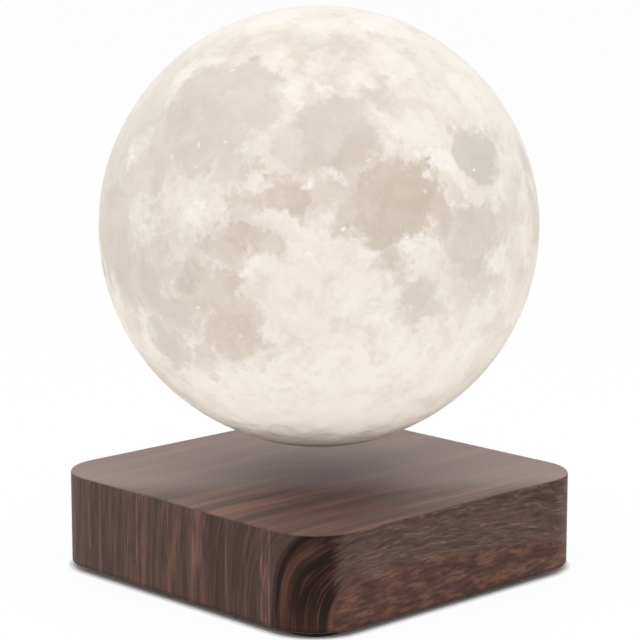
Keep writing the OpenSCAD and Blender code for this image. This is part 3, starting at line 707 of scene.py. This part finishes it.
def ball_relief(ways, falls):
    """How far the surface lies under the ball's full radius in each direction; falls are the rows' angles."""
    relief = np.full(ways.shape[:2], RELIEF_MARGIN)
    for way, radius in crater_list():
        from_top = math.acos(max(-1, min(1, way[2])))
        rows = np.flatnonzero(abs(falls - from_top) < RIM_REACH * radius)
        if not len(rows):
            continue
        span = slice(rows[0], rows[-1] + 1)
        off = np.arccos(np.clip(ways[span] @ way, -1, 1)) / radius
        depth = CRATER_DEPTH * radius * MOON_R / (1 + radius / SHALLOW_RADIUS)
        bowl = np.where(off < 1, 1 - off ** BOWL_POWER, 0)
        rim = np.exp(-((off - RIM_PLACE) / RIM_WIDTH) ** 2)
        relief[span] += depth * (bowl - RIM_HEIGHT * rim)
    calm = smooth((falls[-1] - falls) / CALM_NEAR_OPENING)[:, None]
    return np.clip(relief, 0, None) * calm


def outside_ways(falls, level):
    """The direction of every point of the outside, by row from the top and by column."""
    across = np.sin(falls)[:, None, None] * level[None]
    up = np.broadcast_to(np.cos(falls)[:, None, None], (len(falls), len(level), 1))
    return np.concatenate([across, up], axis=2)


def inside_rows(level):
    """The neck round the opening and the plain inner wall, by row from the opening to the top."""
    inner_r, neck_r = MOON_R - SHELL_WALL, OPENING_R + NECK_WALL
    neck_top = -math.sqrt(inner_r ** 2 - OPENING_R ** 2) + NECK_HEIGHT
    falls = np.linspace(math.pi - math.asin(neck_r / inner_r), 0, INSIDE_ROWS + 1)[:-1]
    profile = [(OPENING_R, neck_top), (neck_r, neck_top)]
    profile += [(inner_r * math.sin(fall), inner_r * math.cos(fall)) for fall in falls]
    return np.stack([np.concatenate([r * level, np.full((len(level), 1), z)], axis=1) for r, z in profile])


def ball_faces(rows, columns):
    """Quads between the rows, and fans to the two points after them: the outer top and the inner top."""
    outer_top, last_row = rows * columns, (rows - 1) * columns
    faces = []
    for low in range(0, last_row, columns):
        high = low + columns
        for a in range(columns):
            b = (a + 1) % columns
            faces.append((low + a, high + a, high + b, low + b))
    for a in range(columns):
        b = (a + 1) % columns
        faces.append((outer_top, a, b))
        faces.append((outer_top + 1, last_row + b, last_row + a))
    return faces


def ball_mesh():
    """The printed shell, with the height of its relief as "rise", in millimetres."""
    falls = np.linspace(0, math.pi - math.asin(OPENING_R / MOON_R), BALL_ROWS + 1)[1:]
    turns = np.linspace(0, 2 * math.pi, BALL_COLUMNS, endpoint=False)
    level = np.stack([np.cos(turns), np.sin(turns)], axis=1)
    ways = outside_ways(falls, level)
    relief = ball_relief(ways, falls)
    rows = np.concatenate([ways * (MOON_R - relief)[..., None], inside_rows(level)])
    tops = [[0, 0, MOON_R - RELIEF_MARGIN], [0, 0, MOON_R - SHELL_WALL]]
    points = np.concatenate([rows.reshape(-1, 3), tops]) + (0, 0, MOON_Z)
    faces = ball_faces(len(rows), BALL_COLUMNS)
    mesh = bpy.data.meshes.new("moon_ball")
    mesh.from_pydata(points.tolist(), [], faces)
    mesh.polygons.foreach_set("use_smooth", np.ones(len(faces), bool))
    rise = np.zeros(len(points))
    rise[:relief.size] = (RELIEF_MARGIN - relief).ravel() / MM
    mesh.attributes.new("rise", "FLOAT", "POINT").data.foreach_set("value", rise)
    mesh.update()
    return mesh


# Tones of the print
BROWN_TONE = rgb(206, 193, 176)
GREY_TONE = rgb(212, 203, 192)
SHARP_TONE = rgb(211, 204, 194)
HIGHLAND_TONES = ((0.36, rgb(229, 219, 205)), (0.5, rgb(240, 231, 218)), (0.64, rgb(246, 238, 228)))
BRIGHT_TONE = rgb(252, 247, 241)
BLACK = (0, 0, 0, 1)

# How far noise bends the outlines of the patches, and how much of the fine bend calm outlines take
BROAD_NOISE = (5.0, 3.0, 0.5)
BROAD_BEND = 0.17
FINE_NOISE = (15.0, 5.0, 0.64)
FINE_BEND = 0.2
CALM_SHARE = 0.4

# The mottle of the highland and of the plains, and how soft the edges of each kind of patch are, in degrees
HIGHLAND_NOISE = (9.0, 8.0, 0.62)
PLAIN_NOISE = (8.0, 6.0, 0.65)
PLAIN_STEP = (0.3, 0.62, 0.78, 1.0)
MOTTLE_NOISE = (22.0, 4.0, 0.6)
MOTTLE_STEP = (0.64, 0.48, 0.85, 1.0)
GREY_SOFT = 1.8
BROWN_SOFT = 1.5
SHARP_SOFT = 0.6
BRIGHT_SOFT = 2.0
POINT_SOFT = 0.4
SPECK_NOISE = (26.0, 5.0, 0.7)
SPECK_STEP = (0.35, 0.62, 0.35, 1.0)
RAY_NOISE = (3.2, 2.0, 0.6)
RAY_START = 0.5
RAY_END = 0.7

# Craters by the height of the relief in millimetres: painted shade in the bowls and a painted highlight on
# the rims, faint on the near side
BOWL_SHADE_STEP = (-0.02, -0.13, 1.0, 0.9)
CRATER_RIM_HIGHLIGHT_STEP = (0.004, 0.035, 1.0, 1.06)
FAR_SIDE_STEP = (0.1, -0.25, 0.12, 0.65)

# Where the print turns away, a painted sheen whitens it high up and painted shade greys it low down, over the
# dark base: steps by facing and height, and tone
RIM_SHEEN_AND_SHADE = (((0.4, 0.95, 0.0, 0.4), (0.1, 0.17), rgb(254, 252, 250)),
                ((0.55, 1.0, 0.0, 0.5), (0.085, 0.06), rgb(182, 173, 163)))

# Light from inside: GLOW_SHARE at GLOW_REACH millimetres from the light plate, and faint below a ragged end
# at the heights of GLOW_STEP, in metres
LIGHT_SPOT = (0, 0, 0.072)
GLOW_SHARE = 0.385
GLOW_REACH = 48.0
GLOW_STEP = (0.047, 0.058, 0.12, 1.0)
GLOW_RAGGED = 0.014
GLOW_NOISE = (9.0, 5.0, 0.65)
LEVEL_STREAKS = (1.0, 1.0, 3.0)
SHELL_SHARE = 0.86
GRIT_NOISE = (90.0, 5.0, 0.7)
GRIT_DEPTH = 0.2 * MM

# Patches are worked out in rows, as the renderer has room for about 200 values at a time
PATCH_ROW = 20
NEXT_TO_NOTHING = 1e-7


def map_patches(g, way, places, softness):
    """The strongest of the round patches at each point; softness is in degrees.

    Each row of patches waits for the row before it, by a shift of the point that is too small to see.
    """
    cover = None
    for number, (longitude, latitude, radius, strength) in enumerate(places):
        if number and number % PATCH_ROW == 0:
            wait = g.times(cover, NEXT_TO_NOTHING)
            way = g.vector("ADD", way, g.join(wait, wait, wait))
        dot = g.vector("DOT_PRODUCT", way, tuple(map_way(longitude, latitude)))
        outer = math.cos(math.radians(radius + softness))
        inner = math.cos(math.radians(max(radius - softness, 0)))
        patch = g.step(dot, outer, inner, 0.0, strength)
        cover = patch if cover is None else g.larger(cover, patch)
    return cover


def ray(g, way, longitude, latitude, reach, strength):
    """Bright streaks that leave one crater, from noise over the bearing at which a point lies."""
    centre = tuple(map_way(longitude, latitude))
    dot = g.vector("DOT_PRODUCT", way, centre)
    bearing = g.vector("NORMALIZE", g.vector("SUBTRACT", way, g.scaled(centre, dot)))
    streak = g.step(g.noise(bearing, *RAY_NOISE), RAY_START, RAY_END, 0.0, strength)
    near = g.add("MapRange", {"Value": dot, "From Min": math.cos(math.radians(reach)), "From Max": 1.0})
    return g.times(streak, near)


def noise_shift(g, way, settings, size):
    """A shift by noise along all three axes."""
    noise = g.noise(way, *settings, output="Color")
    return g.scaled(g.vector("SUBTRACT", noise, (0.5, 0.5, 0.5)), size)


def ground_tone(g, way, calm, bent):
    """Highland and plains; the plains are patchy within."""
    colour = g.ramp(g.noise(bent, *HIGHLAND_NOISE), *HIGHLAND_TONES)
    patchy = g.step(g.noise(way, *PLAIN_NOISE), *PLAIN_STEP)
    patchy = g.times(patchy, g.step(g.noise(bent, *MOTTLE_NOISE), *MOTTLE_STEP))
    colour = g.mix(g.times(map_patches(g, bent, GREY_PLAINS, GREY_SOFT), patchy), colour, GREY_TONE)
    colour = g.mix(g.times(map_patches(g, bent, BROWN_PLAINS, BROWN_SOFT), patchy), colour, BROWN_TONE)
    return g.mix(map_patches(g, calm, SHARP_PLAINS, SHARP_SOFT), colour, SHARP_TONE)


def bright_share(g, way, calm, bent):
    """Where the print is bright: pale ground, rays and pin-point craters."""
    speck = g.step(g.noise(way, *SPECK_NOISE), *SPECK_STEP)
    pale = g.times(map_patches(g, bent, BRIGHT_GROUND, BRIGHT_SOFT), speck)
    rays = g.times(g.largest(ray(g, calm, *centre) for centre in RAY_CENTRES), speck)
    points = map_patches(g, calm, BRIGHT_CRATERS, POINT_SOFT)
    return g.larger(g.larger(pale, rays), points)


def crater_shade_and_highlight(g, way):
    """A factor that paints shade into the bowls of the relief and a highlight onto its rims."""
    rise = g.add("Attribute", {}, "Fac", attribute_name="rise")
    bowl = g.step(rise, *BOWL_SHADE_STEP)
    rim = g.step(rise, *CRATER_RIM_HIGHLIGHT_STEP)
    share = g.step(g.vector("DOT_PRODUCT", way, tuple(MAP_FACE)), *FAR_SIDE_STEP)
    return g.add("Mix", {0: share, 2: 1.0, 3: g.times(bowl, rim)})


def rim_sheen_and_shade(g, colour, height):
    """Where it turns away, a painted sheen whitens the upper half of the print and painted shade greys its
    lowest part.
    """
    facing = g.add("LayerWeight", {"Blend": 0.5}, "Facing")
    for facing_step, height_step, tone in RIM_SHEEN_AND_SHADE:
        share = g.times(g.step(facing, *facing_step), g.step(height, *height_step))
        colour = g.mix(share, colour, tone)
    return colour


def glow_share(g, place, way, height):
    """How much of the light inside the shell lets through: most near the plate, little at the bottom."""
    off = g.scaled(g.vector("SUBTRACT", place, LIGHT_SPOT), 1 / MM)
    far = g.math("DIVIDE", g.vector("LENGTH", off), GLOW_REACH)
    share = g.math("DIVIDE", GLOW_SHARE, g.times(far, far), clamp=True)
    blotch = g.centred(g.noise(g.vector("MULTIPLY", way, LEVEL_STREAKS), *GLOW_NOISE))
    ragged = g.plus(height, g.times(blotch, GLOW_RAGGED))
    return g.times(share, g.step(ragged, *GLOW_STEP))


def moon_print():
    """The printed ball: the lunar map, painted shade and highlight on the relief, and the light from inside.
    """
    g = new_material("moon_print")
    place = g.add("TexCoord", {}, "Object")
    way = g.vector("NORMALIZE", g.vector("SUBTRACT", place, (0, 0, MOON_Z)))
    broad = noise_shift(g, way, BROAD_NOISE, BROAD_BEND)
    fine = noise_shift(g, way, FINE_NOISE, FINE_BEND)
    calm = g.vector("NORMALIZE", g.vector("ADD", way, g.scaled(fine, CALM_SHARE)))
    bent = g.vector("NORMALIZE", g.vector("ADD", g.vector("ADD", way, broad), fine))
    colour = ground_tone(g, way, calm, bent)
    colour = g.mix(bright_share(g, way, calm, bent), colour, BRIGHT_TONE)
    # painted shade in the crater bowls and painted highlight on their rims
    colour = tint(g, colour, crater_shade_and_highlight(g, way))
    height = g.xyz(place)[2]
    # painted sheen on the upper rim and painted shade on the lower rim
    colour = rim_sheen_and_shade(g, colour, height)
    glow = glow_share(g, place, way, height)
    grit = g.bump(g.noise(way, *GRIT_NOISE), GRIT_DEPTH)
    return g.surface(base_color=g.mix(SHELL_SHARE, BLACK, colour), roughness=0.85, normal=grit,
                     specular_ior_level=0.2, sheen_weight=0.15, emission_color=g.mix(glow, BLACK, colour),
                     emission_strength=1.0)


# ---- the other materials, one function for each kind of surface, in millimetres ----

def shades(colour, low, high):
    """The same colour darker and lighter, as the ends of a ramp."""
    return (tuple(low * v for v in colour[:3]) + (1,), tuple(min(1.0, high * v) for v in colour[:3]) + (1,))


def mottled(g, way, colour, scale, low=0.85, high=1.12):
    """A colour that changes softly between low and high times its brightness."""
    dark, light = shades(colour, low, high)
    return g.ramp(g.noise(way, scale, detail=5.0, rough=0.6), (0.35, dark), (0.65, light))


def moulded(name, colour, rough):
    """Moulded plastic: faint flow marks and a fine spark-eroded grain."""
    g = new_material(name)
    place = g.place()
    grain = g.noise(place, scale=6.0, detail=3.0, rough=0.6)
    wear = g.noise(place, scale=0.35, detail=4.0, rough=0.6)
    gloss = {"low": rough - 0.06, "high": rough + 0.08}
    return g.surface(base_color=mottled(g, place, colour, scale=0.25), normal=g.bump(grain, depth=0.02 * MM),
                     roughness=g.step(wear, start=0.3, end=0.7, **gloss))


def rubber():
    """Foot pads: matte, with a fine pebble and a little dust."""
    g = new_material("foot_rubber")
    place = g.place()
    pebble = g.voronoi(place, scale=2.2)
    dust = g.step(g.noise(place, scale=0.6, detail=5.0, rough=0.65), start=0.45, end=0.75, low=0.0, high=0.35)
    dark = mottled(g, place, rgb(30, 29, 29), scale=0.8)
    return g.surface(base_color=g.mix(dust, dark, rgb(78, 74, 70)), roughness=0.82,
                     normal=g.bump(pebble, depth=0.05 * MM), specular_ior_level=0.3)


def turned_metal(name, colour, rough, lines=4.0):
    """Metal with fine marks round its upright axis, and stains that change its gloss."""
    g = new_material(name)
    place = g.place()
    x, y, z = g.xyz(place)
    along_marks = 0.2
    marks = g.noise(g.join(g.times(x, along_marks), g.times(y, along_marks), z), lines, detail=3.0, rough=0.6)
    stain = g.noise(place, scale=0.5, detail=4.0, rough=0.6)
    gloss = {"low": rough - 0.08, "high": rough + 0.1}
    return g.surface(base_color=mottled(g, place, colour, scale=0.6, low=0.9, high=1.06), metallic=1.0,
                     roughness=g.step(stain, start=0.3, end=0.7, **gloss),
                     normal=g.bump(marks, depth=0.01 * MM))


def sintered(name, colour, rough, metal):
    """Pressed and fired ferrite, or cast iron: grains, pits and darker spots."""
    g = new_material(name)
    place = g.place()
    pits = g.step(g.voronoi(place, scale=1.6), start=0.05, end=0.3)
    spots = g.step(g.noise(place, scale=2.2, detail=4.0, rough=0.7), start=0.55, end=0.7, low=0.0, high=0.5)
    spot_shade = shades(colour, low=0.55, high=1)[0]
    return g.surface(base_color=g.mix(spots, mottled(g, place, colour, scale=0.9), spot_shade),
                     roughness=rough, metallic=metal, normal=g.bump(pits, depth=0.04 * MM))


def circuit_board():
    """Green lacquer over copper: straight traces, round vias and a woven ground."""
    g = new_material("circuit_board")
    place = g.place()
    x, y, _ = g.xyz(place)
    flat = g.join(x, y, 0.0)
    cells = g.voronoi(flat, scale=0.28, feature="DISTANCE_TO_EDGE")
    lanes = g.voronoi(flat, scale=0.55, distance="MANHATTAN")
    lane_pitch = 0.14
    traces = g.larger(g.step(cells, start=0.09, end=0.06),
                      g.step(g.math("PINGPONG", lanes, lane_pitch), start=0.03, end=0.02))
    vias = g.voronoi(flat, scale=0.42, even=0.3)
    rings = g.times(g.step(vias, start=0.17, end=0.15), g.step(vias, start=0.06, end=0.08))
    weave_scale, weave_share = 1.4, 0.12
    weave = g.add("TexChecker", {0: flat, 3: weave_scale}, 1)
    share = g.times(weave, weave_share)
    ground = g.mix(share, mottled(g, place, rgb(24, 96, 62), scale=0.4), rgb(40, 120, 80))
    colour = g.mix(traces, ground, rgb(52, 138, 92))
    colour = g.mix(rings, colour, rgb(196, 178, 120))
    return g.surface(base_color=colour, roughness=g.step(rings, start=0.2, end=0.8, low=0.38, high=0.25),
                     normal=g.bump(g.larger(traces, rings), depth=0.04 * MM))


def wound_copper():
    """Enamelled wire wound in layers, with painted shade in the grooves between turns."""
    g = new_material("wound_copper")
    place = g.place()
    x, y, z = g.xyz(place)
    turn_height, along_wire = 0.45, 0.3
    turns = g.math("PINGPONG", g.math("DIVIDE", z, turn_height), 0.5)
    # grooves between turns: a bump, and painted shade in the colour
    groove_shade = g.step(turns, start=0.02, end=0.2)
    wire_way = g.join(g.times(x, along_wire), g.times(y, along_wire), z)
    slack = g.noise(wire_way, scale=1.3, detail=3.0, rough=0.6)
    wire = g.ramp(slack, (0.35, rgb(168, 92, 52)), (0.65, rgb(214, 136, 88)))
    return g.surface(base_color=g.mix(groove_shade, rgb(84, 42, 24), wire), roughness=0.34, metallic=0.9,
                     normal=g.bump(groove_shade, depth=0.12 * MM))


def chip():
    """Epoxy of the chips: near black, with a fine pale speckle."""
    g = new_material("chip_epoxy")
    place = g.place()
    speck = g.step(g.voronoi(place, scale=5.0), start=0.1, end=0.3)
    epoxy = mottled(g, place, rgb(38, 38, 40), scale=1.5)
    grain = {"scale": 8.0, "detail": 3.0, "rough": 0.6}
    return g.surface(base_color=g.mix(speck, rgb(66, 66, 68), epoxy), roughness=0.55,
                     normal=g.bump(g.noise(place, **grain), depth=0.015 * MM))


def phosphor():
    """The yellow gel of the light diodes: fine grains, paler between them."""
    g = new_material("diode_phosphor")
    grain = g.voronoi(g.place(), scale=4.0)
    return g.surface(base_color=g.ramp(grain, (0.0, rgb(246, 208, 92)), (0.5, rgb(252, 226, 140))),
                     roughness=0.4, normal=g.bump(grain, depth=0.03 * MM), subsurface_weight=0.2)


def lacquered_plate():
    """White lacquered aluminium under the light diodes, with faint traces."""
    g = new_material("light_plate")
    place = g.place()
    x, y, _ = g.xyz(place)
    cells = g.voronoi(g.join(x, y, 0.0), scale=0.2, feature="DISTANCE_TO_EDGE")
    traces = g.step(cells, start=0.07, end=0.04)
    trace_share = 0.5
    share = g.times(traces, trace_share)
    white = mottled(g, place, rgb(232, 232, 228), scale=0.7, low=0.95, high=1.03)
    return g.surface(base_color=g.mix(share, white, rgb(206, 208, 206)), roughness=0.4,
                     normal=g.bump(traces, depth=0.03 * MM))


def printed_cap():
    """The cap in the ball's opening: the print's cream, greyer, with the rings of its flat first layer."""
    g = new_material("printed_cap")
    place = g.place()
    x, y, z = g.xyz(place)
    radius = g.vector("LENGTH", g.join(x, y, 0.0))
    ring_width, ring_slope = 0.4, 0.8
    rings = g.math("PINGPONG", g.plus(radius, g.times(z, ring_slope)), ring_width)
    specks = g.step(g.noise(place, scale=1.6, detail=6.0, rough=0.7), start=0.5, end=0.68, low=0.0, high=0.6)
    cream = mottled(g, place, rgb(214, 207, 198), scale=0.3, low=0.9, high=1.05)
    return g.surface(base_color=g.mix(specks, cream, rgb(168, 162, 155)), roughness=0.8,
                     normal=g.bump(rings, depth=0.12 * MM), specular_ior_level=0.3)


def slot_looks():
    """The material of every slot of the record that keeps its CAD nodes."""
    return {
        "black_plastic": moulded("black_plastic", rgb(44, 44, 46), 0.55),
        "white_plastic": moulded("white_plastic", rgb(228, 225, 218), 0.5),
        "foot_rubber": rubber(),
        "screw_steel": turned_metal("screw_steel", rgb(196, 197, 200), 0.32),
        "brass": turned_metal("brass", rgb(214, 186, 118), 0.28),
        "nickel": turned_metal("nickel", rgb(208, 206, 202), 0.2, 1.5),
        "capacitor_can": turned_metal("capacitor_can", rgb(206, 208, 212), 0.36, 2.0),
        "board_green": circuit_board(),
        "ferrite": sintered("ferrite", rgb(72, 72, 76), 0.6, 0.2),
        "core_iron": sintered("core_iron", rgb(132, 130, 128), 0.42, 0.9),
        "copper": wound_copper(),
        "chip_black": chip(),
        "light_plate": lacquered_plate(),
        "diode_yellow": phosphor(),
        "cap_white": printed_cap(),
    }


def dress_nodes():
    """Gives every CAD node that stays the look of its slot."""
    looks = slot_looks()
    for part in frame["record"]["subparts"]:
        look = looks.get(part["material_slot"])
        if look:
            nodes[part["node"]].material_slots[0].material = look


# ---- stage ----

WORLD_LIGHT = 0.8
FLOOR_HALF = 3.0
FLOOR_PAINT = rgb(250, 250, 250)
FLOOR_GLOW = 0.92
CONTACT_REACH = 2.6 * MM
CONTACT_SAMPLES = 16
CONTACT_STEP = (0.84, 0.94)
LAMP_PLACE = Vector((0.3, -0.3, 1.2))
LAMP_TARGET = Vector((0, 0, 0.08))
LAMP_SIZE = 0.8
LAMP_WATTS = 5.2


def white_rays(g):
    """1 for the rays that see the white background: the camera's, and those in gloss and glass."""
    path = g.add("LightPath", {}).node
    seen = g.larger(path.outputs["Is Camera Ray"], path.outputs["Is Transmission Ray"])
    return g.larger(seen, path.outputs["Is Glossy Ray"])


def add_world():
    """White where it is seen, and a little weaker as light."""
    world = bpy.data.worlds.new("studio")
    scene.world = world
    world.use_nodes = True
    g = Graph(world.node_tree)
    strength = g.add("Mix", {0: white_rays(g), 2: WORLD_LIGHT, 3: 1.0})
    light = g.add("Background", {"Color": WHITE, "Strength": strength})
    g.add("OutputWorld", {"Surface": light})


def add_lamp():
    """One large soft lamp over the front of the object."""
    data = bpy.data.lights.new("top_lamp", "AREA")
    data.size = LAMP_SIZE
    data.energy = LAMP_WATTS
    lamp = bpy.data.objects.new("top_lamp", data)
    lamp.location = LAMP_PLACE
    lamp.rotation_euler = (LAMP_TARGET - LAMP_PLACE).to_track_quat("-Z", "Y").to_euler()
    scene.collection.objects.link(lamp)


def floor_look():
    """White paint that also glows where it is seen, except in the thin shadow close under the object."""
    g = new_material("floor")
    paint = g.add("BsdfDiffuse", {"Color": FLOOR_PAINT})
    glow = g.add("Emission", {"Color": WHITE, "Strength": 1.0})
    near = g.add("AmbientOcclusion", {"Distance": CONTACT_REACH}, "AO", samples=CONTACT_SAMPLES)
    share = g.times(g.times(white_rays(g), FLOOR_GLOW), g.step(near, *CONTACT_STEP))
    g.add("OutputMaterial", {"Surface": g.add("MixShader", {0: share, 1: paint, 2: glow})})
    return g.material


def add_floor():
    mesh = bpy.data.meshes.new("floor")
    corners = [(x * FLOOR_HALF, y * FLOOR_HALF, 0) for x, y in ((-1, -1), (1, -1), (1, 1), (-1, 1))]
    mesh.from_pydata(corners, [], [(0, 1, 2, 3)])
    mesh.materials.append(floor_look())
    floor = bpy.data.objects.new("floor", mesh)
    scene.collection.objects.link(floor)


add_camera()
add_world()
add_floor()
add_lamp()

wood = add_piece("walnut_block", wood_mesh(), "base", "walnut", "wood_housing")
wood.data.materials.append(walnut_side())
wood.data.materials.append(walnut_top())
moon = add_piece("moon_ball", ball_mesh(), "moon", "printed_moon", "moon_shell")
moon.data.materials.append(moon_print())
dress_nodes()

scene.view_settings.view_transform = "Standard"
